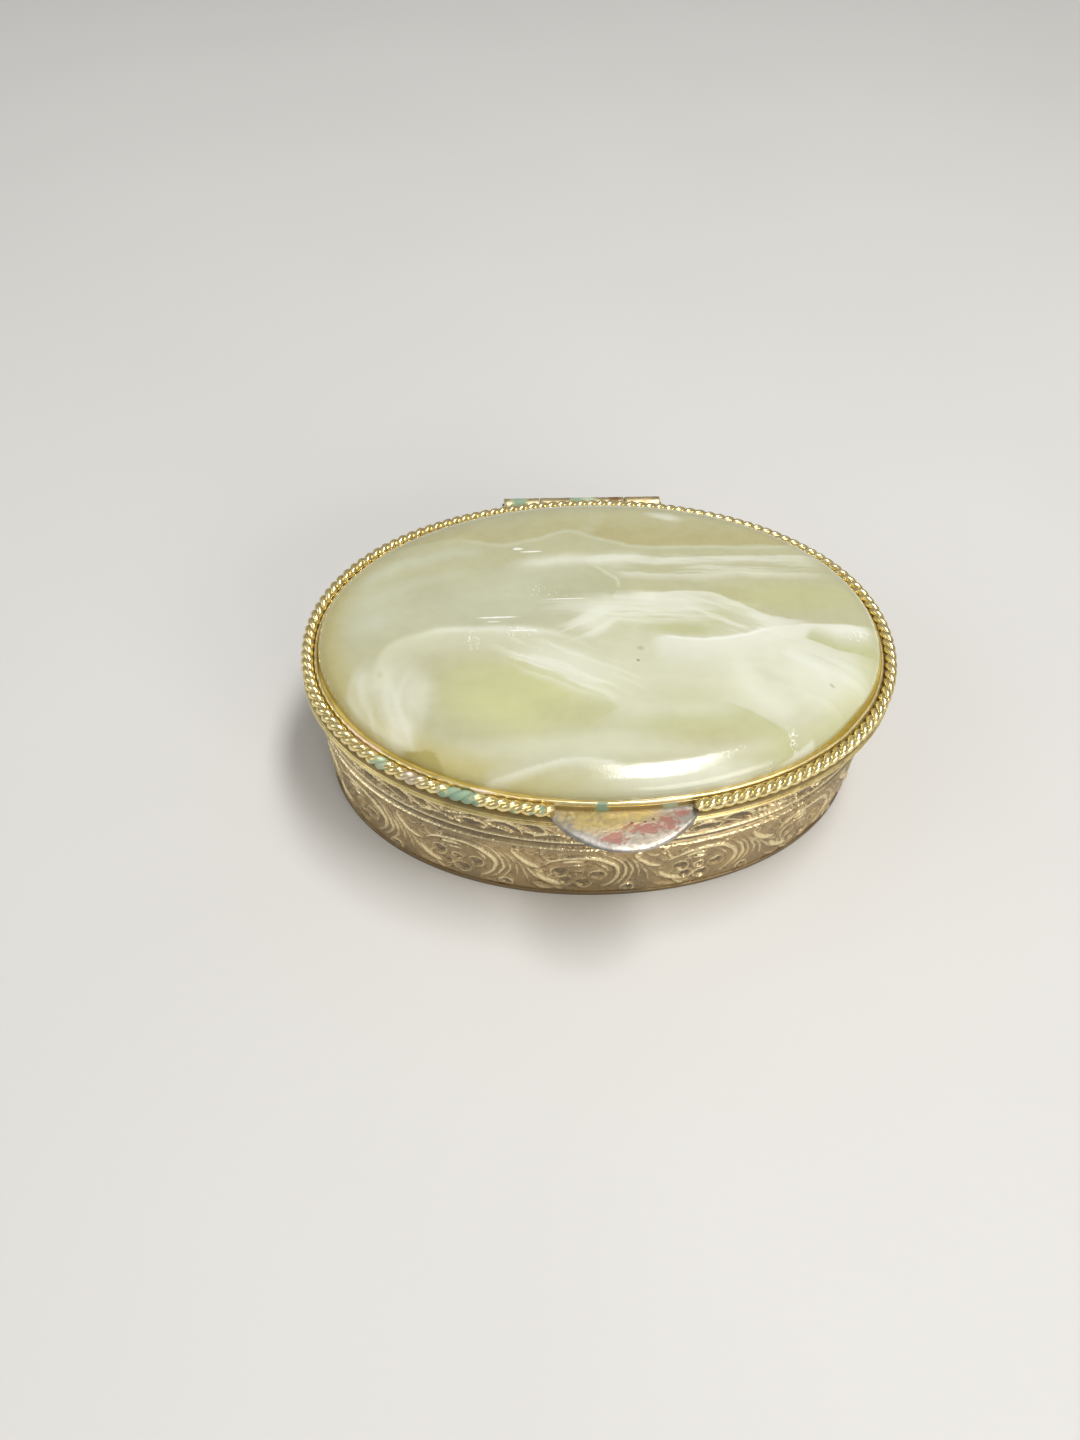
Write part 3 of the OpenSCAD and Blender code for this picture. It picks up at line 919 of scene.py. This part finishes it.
def front_clouds(c):
    """Amber corner at the left, a pale vein along the front and the olive pool at the right."""
    c.shelf([(-23.4, -16.6), (-21.6, -17.4), (-20.2, -17.5), (-19.3, -18), (-18.4, -19.4),
             (-17.4, -21)], HONEY, 0.95, -4, crisp=0.1, ends=0.15)
    c.shelf([(-15, -21.3), (-11, -20.6), (-6, -19.6), (-3, -19.6), (1, -20.4)], HAZE, 0.5, 1.6)
    c.shelf([(-15, -21.3), (-11, -20.6), (-6, -19.6), (-3, -19.6), (1, -20.4)], MILK, 0.6, -1.4)
    c.shelf([(0.6, -12.8), (-1, -14), (-3.4, -15.4)], GREEN, 0.6, -4, crisp=0.12)
    c.shelf([(10, -11.6), (14, -13.2), (17, -15.2), (18.7, -17.4), (18, -19.6), (15, -20.8)], GREEN,
            0.8, -7, crisp=0.12, ends=0.3)
    c.shelf([(21.5, -16.8), (20, -18), (17, -20), (14, -21.2), (10, -22)], MILK, 0.7, 3, crisp=0.12)


def edge_tint(c, x, y):
    """Amber showing through round the thinner edge, most at the left."""
    inset = inset_of("onyx_stone")
    reach = (np.abs(x) / (HALF_L - inset)) ** 2 + (np.abs(y) / (HALF_W - inset)) ** 2
    near = smooth(reach, 0.74, 1.0)
    c.lay(0.8 * near * smooth(x + 0.5 * y, -8, -30), AMBER)
    c.lay(0.5 * near * smooth(x, 5, 30) * smooth(y, 4, -8), LIME)


def stone_colour(x, y):
    """The onyx's clouds, shelves and veins, as seen from above."""
    c = Clouds(x, y, KHAKI)
    for middle, radii, colour, amount, turn in CLOUD_BLOBS:
        c.blob(middle, radii, colour, amount, turn)
    edge_tint(c, x, y)
    for clouds in (rear_clouds, feathered_clouds, right_clouds, left_clouds, front_clouds):
        clouds(c)
    c.blob((4, -4.6), (0.6, 0.45), (172, 142, 104), 0.6)
    c.blob((3.5, -6.4), (0.24, 0.2), (70, 62, 46), 0.9)
    c.blob((24.6, -10.5), (0.2, 0.4), (96, 96, 68), 0.9, 20)
    shade = 1 + 0.12 * layered_noise(x, y, 5.0, 61) + 0.03 * layered_noise(x / 4, y, 0.8, 62)
    return c.colour * shade[:, None]


def make_stone(material):
    """A low dome: upright edge, hand-rounded shoulder and a nearly flat, slightly wavy crown."""
    inset, low, high = place_of("onyx_stone")
    edge = high - SHOULDER_H - CROWN_H
    angles = stations(STONE_COLUMNS)[0]

    def near(middle, width):
        return np.exp(-(((np.degrees(angles) - middle) / width) ** 2))

    wide = SHOULDER_W + 1.3 * near(118, 38) - 0.8 * near(48, 30)
    back = 0.3 * near(-34, 10) + 0.2 * near(202, 12)
    profile = [(0.1, low), (0, low + 0.1), (0, edge - 0.3)]
    for a in np.radians(np.linspace(0, 90, SHOULDER_STEPS)):
        profile.append(((wide - back) * (1 - math.cos(a)), edge + SHOULDER_H * math.sin(a)))
    rows = [ring(angles, inset + back + more, z, STONE_POWER) for more, z in profile]
    rim = rows[-1]
    for share in np.linspace(1, 0.012, STONE_RINGS - len(rows) + 1)[1:]:
        rows.append(rim * [share, share, 1] + [0, 0, CROWN_H * (1 - share**2)])
    points = np.concatenate(rows)
    x, y, z = points.T
    wave = np.sin(x * 0.31 + y * 0.17) + np.sin(y * 0.43 - x * 0.11 + 1) + np.sin(x * 0.16 + 2)
    lifted = smooth(z, edge, edge + SHOULDER_H)
    points[:, 2] += lifted * (0.02 * wave - 0.06)
    faces = capped_faces(len(rows), STONE_COLUMNS)
    make_piece("onyx_stone_domed", points, faces, "lid", ["onyx_stone"], material,
               crease=60, values={"clouds": stone_colour(x, y)})


# ---- thumb tab

TAB_COLUMNS = 120
TAB_R = 9.1
TAB_X = 0.4
TAB_ROOT_INSET = 1.45
TAB_DROOP = 0.12


def make_tab(material):
    """Half-moon lip with a thick rounded edge, soldered over the plate up to the bezel's foot."""
    low, high = span("thumb_tab")
    middle_y = low[1] + TAB_R + 0.15
    half = math.acos((-HALF_W + TAB_ROOT_INSET - middle_y + 0.55) / -TAB_R) * 0.985
    swing = np.linspace(-half, half, TAB_COLUMNS)
    tip_x, tip_y = TAB_X + TAB_R * np.sin(swing), middle_y - TAB_R * np.cos(swing)
    root = -math.pi / 2 + np.arcsin(np.clip(tip_x / (HALF_L - TAB_ROOT_INSET), -1, 1)) * 0.98
    root_x, root_y = oval(root, TAB_ROOT_INSET)
    thick = high[2] - low[2]
    rows = []
    steps = [(t, 0.0) for t in np.linspace(0, 0.82, 12)]
    steps += [(0.88, 0.02), (0.93, 0.05), (0.97, 0.11), (0.99, 0.17), (1.0, 0.27)]
    steps += [(1.0, thick - 0.1), (0.97, thick), (0.5, thick), (0.0, thick - 0.15)]
    for share, drop in steps:
        x = root_x + (tip_x - root_x) * share
        y = root_y + (tip_y - root_y) * share
        out = smooth(y, middle_y - TAB_R * 0.6, middle_y - TAB_R)
        crown = 0.03 * (1 - out) * (1 if drop < 0.1 else 0)
        rows.append(np.stack([x, y, high[2] + crown - drop - TAB_DROOP * out * (drop < 0.3)], -1))
    points = np.concatenate(rows)
    points[:, 2] = np.maximum(points[:, 2], low[2])
    faces = grid_faces(len(rows), TAB_COLUMNS, around_rows=True, around_columns=False)
    faces = [face[::-1] for face in faces]
    ends = [[r * TAB_COLUMNS for r in range(len(rows))],
            [r * TAB_COLUMNS + TAB_COLUMNS - 1 for r in range(len(rows))][::-1]]
    make_piece("thumb_tab_worn", points, faces + ends, "lid", ["thumb_tab"], material,
               crease=50)


TAB_Z = 17.2
# Where the copper shows: middle and radii of its patches, and small pits
COPPER_PATCHES = [((-1.0, -27.2), (1.3, 0.72)), ((2.6, -26.2), (2.3, 0.55)),
                  ((4.9, -25.4), (0.95, 0.95)), ((6.4, -24.4), (0.8, 0.4))]
COPPER_PITS = [(2.4, -25.4), (3.3, -25.1), (1.0, -25.5)]


def worn_tab():
    """Silver-grey base metal, with gold left at the root and copper showing in between."""
    s = Shade("worn_tab", IOR=1.5)
    s.colour = srgb(138, 134, 130)
    s.lay(s.ramp(s.noise(0.8, 4), 0.35, 0.65), srgb(164, 160, 154))
    beige = s.patch((1.5, -26.0, TAB_Z), (5.5, 2.4, 3), ragged=0.4, size=1.6, soft=0.4)
    s.lay(beige, srgb(166, 152, 128), 0.6)
    gold = s.patch((-1.4, -23.4, TAB_Z), (5.6, 3.0, 3), ragged=0.5, size=1.5, soft=0.35)
    rub = s.ramp(s.noise(0.4, 4), 0.3, 0.62, 0.55, 1.0)
    s.lay(s.times(gold, rub), srgb(190, 168, 106))
    pink = 0.0
    for middle, radii in COPPER_PATCHES:
        more = s.patch((*middle, TAB_Z), (*radii, 3), ragged=1.5, size=0.5, soft=0.35)
        pink = s.most(more, pink)
    s.lay(pink, srgb(158, 104, 92), 0.8)
    for spot in COPPER_PITS:
        pit = s.patch((*spot, TAB_Z), (0.17, 0.15, 3), ragged=0.2, size=0.3)
        s.lay(pit, srgb(132, 88, 70))
    s.set("Metallic", 0.7)
    s.set("Roughness", s.plus(s.ramp(s.noise(0.5, 4), 0.3, 0.7, 0.3, 0.46), pink, 0.12))
    s.bump(s.math("SUBTRACT", s.noise(0.6, 4), s.times(pink, 0.4)), 0.03)
    return s.material


# ---- hinge

PIN_R = 0.5
TUBE_SOFT = 0.09


def make_turned(name, node, profile, body, material, count=48):
    """A tube or pin turned about the hinge axis from its closed (x, radius) profile."""
    turn = np.linspace(0, 2 * math.pi, count, endpoint=False)
    rows = [np.stack([np.full(count, x), HINGE_Y + r * np.cos(turn), HINGE_Z + r * np.sin(turn)], -1)
            for x, r in profile]
    faces = grid_faces(len(rows), count, around_rows=True)
    make_piece(name, np.concatenate(rows), faces, body, [node], material, crease=50)


def make_hinge(metal, steel):
    """Three rolled tubes and the pin with its two peened ends."""
    for node, body, bore in (("left_knuckle", "box", PIN_R), ("right_knuckle", "box", PIN_R),
                             ("lid_knuckle", "lid", PIN_R + 0.05)):
        low, high = span(node)[0][0], span(node)[1][0]
        profile = [(low, bore), (low, HINGE_R - TUBE_SOFT), (low + 0.03, HINGE_R - 0.03),
                   (low + TUBE_SOFT, HINGE_R)]
        profile += [(low + high - x, r) for x, r in profile[::-1]]
        between = [(x, HINGE_R - 0.015 * (i % 2)) for i, x in
                   enumerate(np.linspace(low + 0.5, high - 0.5, 7))]
        profile = profile[:4] + between + profile[4:]
        make_turned(node + "_rolled", node, profile, body, metal)
    end = span("hinge_pin")[1][0]
    head = [(end - 0.14, PIN_R), (end - 0.06, PIN_R * 0.86), (end - 0.01, PIN_R * 0.5),
            (end, PIN_R * 0.05)]
    profile = [(-x, r) for x, r in head[::-1]] + head
    make_turned("hinge_pin_peened", "hinge_pin", profile, "box", steel, count=32)


def finish_leaf(node, material):
    """A CAD leaf keeps its shape, with softened edges and its own metal."""
    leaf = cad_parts[node]
    leaf.data.materials.clear()
    leaf.data.materials.append(material)
    weld = leaf.modifiers.new("weld", "WELD")
    weld.merge_threshold = 0.005 * MM
    bevel = leaf.modifiers.new("bevel", "BEVEL")
    bevel.width = 0.06 * MM
    bevel.segments = 2
    bevel.angle_limit = math.radians(40)


# ---- lining

PAD_RINGS = 60
PAD_COLUMNS = 480
PAD_EDGE_H = 1.52
PUCKER_PITCH = 4.55
PUCKER = 0.06


def make_pad(material):
    """Velvet floor pad: pulled in at its foot, crowned on top, a little puckered by its edge."""
    inset, base, top = place_of("velvet_pad")
    angles, along = stations(PAD_COLUMNS)
    edge = [(0.7, 0.0), (0.35, 0.12), (0.12, 0.4), (0.02, 0.75), (0.06, 1.05), (0.3, 1.35),
            (0.7, PAD_EDGE_H)]
    pucker = np.sin(along * 2 * math.pi / PUCKER_PITCH) * 0.5
    pucker += layered_noise(along, along * 0, 2.0, 71)
    rows = [ring(angles, inset + more + 0.05 + PUCKER * pucker * (rise > 0.3), base + rise)
            for more, rise in edge]
    rim = rows[-1]
    crown = top - base - PAD_EDGE_H - 0.03
    for share in np.linspace(1, 0.02, PAD_RINGS)[1:]:
        row = rim * [share, share, 1]
        row[:, 2] += crown * smooth(1 - share, 0, 0.5)
        row[:, 2] += PUCKER * pucker * smooth(share, 0.82, 0.97) * smooth(share, 1, 0.985)
        row[:, 2] += 0.1 * layered_noise(row[:, 0], row[:, 1], 7.0, 73) * smooth(1 - share, 0, 0.2)
        rows.append(row)
    points = np.concatenate(rows)
    points[:, 2] = np.minimum(points[:, 2], top)
    faces = capped_faces(len(rows), PAD_COLUMNS)
    pad = make_piece("velvet_pad_crowned", points, faces, "box", ["velvet_pad"], material,
                     crease=80)


def velvet():
    """Short pile with brushed patches and a soft sheen."""
    s = Shade("velvet", Roughness=0.9, IOR=1.4)
    s.set("Sheen Weight", 0.8)
    s.set("Sheen Roughness", 0.35)
    s.set("Sheen Tint", srgb(206, 120, 128))
    pile = s.noise(0.16, 2)
    s.colour = srgb(96, 18, 32)
    s.lay(s.ramp(s.noise(6.0, 3, stretch=(1.6, 1, 1)), 0.38, 0.62), srgb(130, 30, 46))
    s.lay(s.ramp(pile, 0.35, 0.65, 0.0, 0.5), srgb(70, 10, 22))
    s.bump(pile, 0.08)
    return s.material


def card():
    """Grey board with pale and dark fibres."""
    s = Shade("card", Roughness=0.92, IOR=1.4)
    s.colour = srgb(150, 136, 112)
    s.lay(s.ramp(s.noise(0.3, 4, stretch=(3, 1, 1)), 0.4, 0.6), srgb(170, 156, 132))
    s.lay(s.ramp(s.noise(0.8, 3), 0.6, 0.66), srgb(112, 98, 78))
    s.bump(s.noise(0.25, 4), 0.03)
    return s.material


def cement():
    """Amber glue: clear honey with darker pools, and one cream blob where it was pressed out."""
    s = Shade("cement", IOR=1.5)
    s.colour = srgb(202, 178, 90)
    s.lay(s.ramp(s.noise(3.5, 4), 0.35, 0.65), srgb(178, 150, 58))
    dark = s.patch((28, -14.5, 19), (11, 8, 3), ragged=0.4, size=2.0, soft=0.3)
    s.lay(dark, srgb(152, 124, 26), 0.7)
    s.lay(s.patch((-15.2, -21.7, 19.3), (1.5, 0.7, 1.5), ragged=0.4), srgb(238, 226, 200))
    s.set("Roughness", s.ramp(s.noise(1.2, 3), 0.3, 0.7, 0.16, 0.4))
    s.set("Coat Weight", 0.3)
    s.set("Coat Roughness", 0.1)
    s.bump(s.noise(1.1, 3), 0.08)
    return s.material


# Crazed spots of the stone: middle and radii
CRAZED = [((-9.4, -1.3, 21), (1.7, 0.9)), ((19, -17.4, 20.5), (0.6, 1.5)),
          ((29.6, -2.9, 21), (1.6, 0.8)), ((-15, -2.6, 21), (0.7, 1.6)),
          ((16, -20.4, 20.5), (0.5, 0.7))]
# Hand scratches on the stone: middle, half length and half width
SCRATCHES = [((-12.1, 1.0), (2.2, 0.12)), ((-4, 3.8), (2.4, 0.07)), ((-7.6, 12.4), (1.2, 0.14)),
             ((-9.2, 13.0), (0.6, 0.22)), ((-9.3, -1.2), (1.6, 0.1)), ((-12.6, 0.3), (0.8, 0.07))]


def onyx():
    """Polished onyx: the clouds kept on the mesh, fine grain, crackle, dust and hand scratches."""
    s = Shade("onyx", IOR=1.55)
    s.colour = s.tint("clouds")
    s.lay(s.ramp(s.noise(1.4, 4), 0.15, 0.85), srgb(246, 244, 226), 0.08)
    crackle = s.times(s.cracks(0.55, 0.09), s.ramp(s.noise(0.6, 2), 0.45, 0.55))
    zone = 0.0
    for middle, radii in CRAZED:
        zone = s.most(s.patch(middle, (*radii, 4), ragged=0.8), zone)
    flaw = s.times(crackle, zone)
    for middle, radii in SCRATCHES:
        line = s.patch((*middle, 21), (*radii, 6), ragged=0.5, size=0.5, soft=0.3)
        flaw = s.most(flaw, line)
    fleck = s.ramp(s.noise(0.3, 1), 0.7, 0.74)
    dust = s.patch((-6.4, 4.4, 21), (3.6, 2.6, 4), ragged=0.5, soft=0.4)
    flaw = s.most(flaw, s.times(fleck, dust))
    s.lay(flaw, srgb(252, 252, 244), 0.8)
    s.set("Roughness", s.ramp(s.noise(2.5, 5), 0.1, 0.9, 0.38, 0.5))
    s.set("Specular IOR Level", 0.3)
    s.set("Subsurface Weight", 0.12)
    s.set("Subsurface Radius", (1.0, 0.9, 0.6))
    s.set("Subsurface Scale", 2.5 * MM)
    s.set("Coat Weight", 0.85)
    s.set("Coat Roughness", 0.08)
    pits = s.times(s.noise(0.3, 3), 0.5)
    relief_height = s.math("ADD", s.noise(3.0, 3), s.math("ADD", pits, s.times(flaw, 0.15)))
    s.set("Coat Normal", s.bump(relief_height, 0.03))
    return s.material


def steel():
    """Drawn wire with a brown film."""
    s = Shade("pin_steel", Metallic=1.0, IOR=1.5)
    s.colour = srgb(176, 172, 160)
    s.lay(s.ramp(s.noise(0.6, 4), 0.4, 0.65), srgb(120, 98, 70))
    s.set("Roughness", s.ramp(s.noise(0.4, 3), 0.3, 0.7, 0.25, 0.5))
    s.bump(s.noise(0.2, 2), 0.01)
    return s.material


# ---- the pieces

ROPE_STAINS = [
    ((-16.9, -22.2, 17.9), (2.3, 1.5, 1.4), VERDIGRIS, 0.85),
    ((-11.1, -23.7, 17.8), (0.45, 0.6, 0.7), VERDIGRIS, 0.8),
    ((-9.4, -24.2, 17.7), (0.5, 0.6, 0.6), VERDIGRIS, 0.8),
    ((-8.3, -24.2, 18.2), (0.4, 0.6, 0.5), VERDIGRIS, 0.8),
    ((-21.8, -19.7, 18.4), (1.5, 0.9, 0.8), srgb(222, 206, 176), 0.2),
    ((-25.2, -17.5, 18.2), (1.1, 0.9, 0.7), PALE_VERDIGRIS, 0.5),
]
BEZEL_STAINS_AND_GLINT = [
    ((-2.0, -23.9, 17.9), (0.7, 0.8, 1.0), VERDIGRIS, 0.85),
    ((5.2, -23.7, 17.6), (0.8, 0.8, 0.5), PALE_VERDIGRIS, 0.9),
    ((3.4, -23.7, 19.0), (1.6, 0.6, 0.35), VERDIGRIS, 0.6),
    ((-14.9, -21.9, 18.5), (1.3, 0.8, 0.5), srgb(240, 226, 204), 0.95),
    # Pale patch on the inner lip at the left: a painted highlight where the glue there glistens.
    ((-27.5, -14.2, 18.5), (2.8, 2.4, 0.5), srgb(252, 230, 208), 0.2),
]
HINGE_STAINS = [
    ((-8.4, 26.3, 17.0), (1.1, 1.6, 1.6), VERDIGRIS, 0.85),
    ((0.3, 26.3, 17.2), (1.6, 1.4, 1.2), PALE_VERDIGRIS, 0.85),
    ((-0.8, 26.4, 17.4), (0.8, 0.9, 0.9), VERDIGRIS, 0.8),
    ((4.2, 26.3, 17.2), (0.8, 1.4, 1.4), srgb(146, 112, 76), 0.4),
]


def make_box():
    side = gilt("embossed_gilt", BRONZE, GRIME, rough=0.3, tarnish=0.55, grain=0.1,
                patina_and_shade=("relief", -0.02, -0.4, 0.8, GRIME),
                ridge=("relief", 0.35, 0.85, srgb(250, 232, 184), 0.14))
    plain = gilt("plain_gilt", srgb(226, 200, 134), srgb(150, 122, 76), rough=0.36, tarnish=0.18)
    strip = gilt("lid_gilt", srgb(228, 208, 156), srgb(166, 138, 84), rough=0.3, tarnish=0.26)
    foot = gilt("foot_gilt", srgb(150, 130, 96), GRIME, rough=0.45, tarnish=0.6)
    # The rim's step is darker where sunk is 1: tarnish, and painted shade under the rope.
    rim = gilt("rim_gilt", srgb(246, 230, 172), srgb(190, 158, 92), rough=0.3, tarnish=0.5,
               patina_and_shade=("sunk", 0.0, 1.0, 0.85, srgb(142, 120, 76)))
    hinge = gilt("hinge_gilt", srgb(224, 208, 162), srgb(160, 140, 100), rough=0.42, tarnish=0.6,
                 stains_and_glints=HINGE_STAINS)
    make_side(side)
    make_rim(rim)
    make_plate("base_plate_flat", "base_plate", "box", foot)
    make_plate("lid_plate_flat", "lid_plate", "lid", strip)
    make_plate("pad_card_flat", "pad_card", "box", card(), round_off=0.05)
    make_plain_bands(plain)
    make_pad(velvet())
    make_hinge(hinge, steel())
    for node in ("base_hinge_leaf", "lid_hinge_leaf"):
        finish_leaf(node, hinge)


def make_lid():
    # The bezel darkens towards its foot: a painted shadow line where the thumb tab meets it.
    bezel = gilt("bezel_gilt", PALE_GOLD, srgb(222, 196, 122), rough=0.32, tarnish=0.3, grain=0.01,
                 patina_and_shade=("foot", 0, 1, 0.75, SHADOW_GOLD), stains_and_glints=BEZEL_STAINS_AND_GLINT)
    # The rope darkens where crest is low: painted shade in the gaps between its strands.
    rope = gilt("rope_gilt", srgb(252, 234, 172), srgb(214, 180, 104), rough=0.22, tarnish=0.4,
                patina_and_shade=("crest", 0.25, -0.35, 0.6, SHADOW_GOLD), stains_and_glints=ROPE_STAINS)
    make_bezel(bezel)
    make_rope(rope)
    make_cement(cement())
    make_stone(onyx())
    make_tab(worn_tab())


make_box()
make_lid()

# ---- floor and light

FLOOR_HALF = 900
LAMPS = [
    # name, place in mm, size in mm, watts, colour
    ("overhead", (128, 0, 558), (320, 110), 2.0, (1.0, 1.0, 1.0)),
    ("front", (260, -420, 250), (320, 220), 0.95, (1.0, 0.97, 0.92)),
    ("left", (-420, -60, 300), (300, 300), 0.35, (0.94, 0.97, 1.0)),
]


def make_floor():
    """A plain pale table top."""
    mesh = bpy.data.meshes.new("floor")
    side = FLOOR_HALF * MM
    corners = [(-side, -side, 0), (side, -side, 0), (side, side, 0), (-side, side, 0)]
    mesh.from_pydata(corners, [], [(0, 1, 2, 3)])
    floor = bpy.data.objects.new("floor", mesh)
    scene.collection.objects.link(floor)
    s = Shade("floor", Roughness=0.6)
    s.colour = srgb(216, 214, 210)
    s.lay(s.noise(60, 2), srgb(222, 220, 216))
    mesh.materials.append(s.material)


def make_lamps():
    for name, place, size, watts, colour in LAMPS:
        data = bpy.data.lights.new(name, "AREA")
        data.shape = "RECTANGLE"
        data.size, data.size_y = size[0] * MM, size[1] * MM
        data.energy = watts
        data.color = colour
        lamp = bpy.data.objects.new(name, data)
        scene.collection.objects.link(lamp)
        lamp.location = Vector(place) * MM
        lamp.rotation_euler = Vector(place).to_track_quat("Z", "Y").to_euler()


def make_sky():
    """Soft room light, brighter above than round the horizon."""
    world = bpy.data.worlds.new("room")
    world.use_nodes = True
    nodes, links = world.node_tree.nodes, world.node_tree.links
    back = nodes["Background"]
    way = nodes.new("ShaderNodeTexCoord")
    apart = nodes.new("ShaderNodeSeparateXYZ")
    grade = nodes.new("ShaderNodeMapRange")
    for key, value in (("From Min", -0.2), ("From Max", 1.0), ("To Min", 0.2), ("To Max", 0.4)):
        grade.inputs[key].default_value = value
    links.new(way.outputs["Generated"], apart.inputs[0])
    links.new(apart.outputs["Z"], grade.inputs["Value"])
    links.new(grade.outputs[0], back.inputs["Strength"])
    back.inputs["Color"].default_value = (1.0, 0.99, 0.97, 1)
    scene.world = world


make_floor()
make_lamps()
make_sky()
scene.view_settings.view_transform = "Standard"
